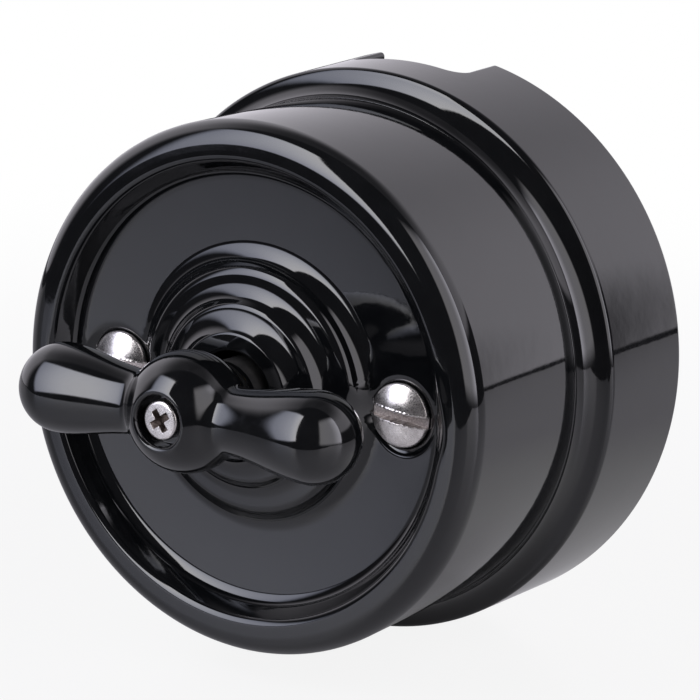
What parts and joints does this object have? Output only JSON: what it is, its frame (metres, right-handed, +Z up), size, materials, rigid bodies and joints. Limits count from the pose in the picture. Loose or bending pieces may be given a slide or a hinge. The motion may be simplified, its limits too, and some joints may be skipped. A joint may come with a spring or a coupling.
{
  "type": "rotary wall switch",
  "caption": "Retro surface-mounted rotary light switch: round black glazed porcelain base and cover with a stepped boss and a winged knob that turns in quarter-turn steps.",
  "frame": {"origin": "centre of the base's back face, on the wall", "axes": "+Y into the wall, so the front and the knob face -Y; +Z up, with the cable notch at the top; +X to the viewer's right"},
  "size_m": [0.0712, 0.0582, 0.0709],
  "materials": {
    "black_glaze": "high gloss black glaze",
    "nickel": "bright nickel plate",
    "insulation": "moulded thermoset",
    "zinc_steel": "zinc plated",
    "spring_steel": "polished spring steel",
    "brass": "turned brass"
  },
  "bodies": {
    "housing": {"base": "black_glaze", "cover": "black_glaze", "cover_screws": "nickel", "mechanism_body": "insulation", "mechanism_screws": "zinc_steel", "mounting_plate": "zinc_steel", "plate_screws": "zinc_steel", "cover_pillars": "brass", "shaft_bush": "brass", "bush_nut": "brass", "detent_springs": "spring_steel", "fixed_contacts": "brass", "terminal_blocks": "brass", "terminal_screws": "zinc_steel"},
    "turning_knob": {"knob": "black_glaze", "knob_screw": "nickel", "spindle": "zinc_steel", "spindle_clip": "spring_steel", "thrust_washer": "zinc_steel", "rotor": "insulation", "moving_contact": "brass", "detent_cam": "spring_steel"}
  },
  "joints": [
    {"name": "knob_turn", "type": "hinge", "parent": "housing", "child": "turning_knob", "pos_m": [0, 0, 0], "axis": [0, -1, 0], "continuous": true}
  ]
}
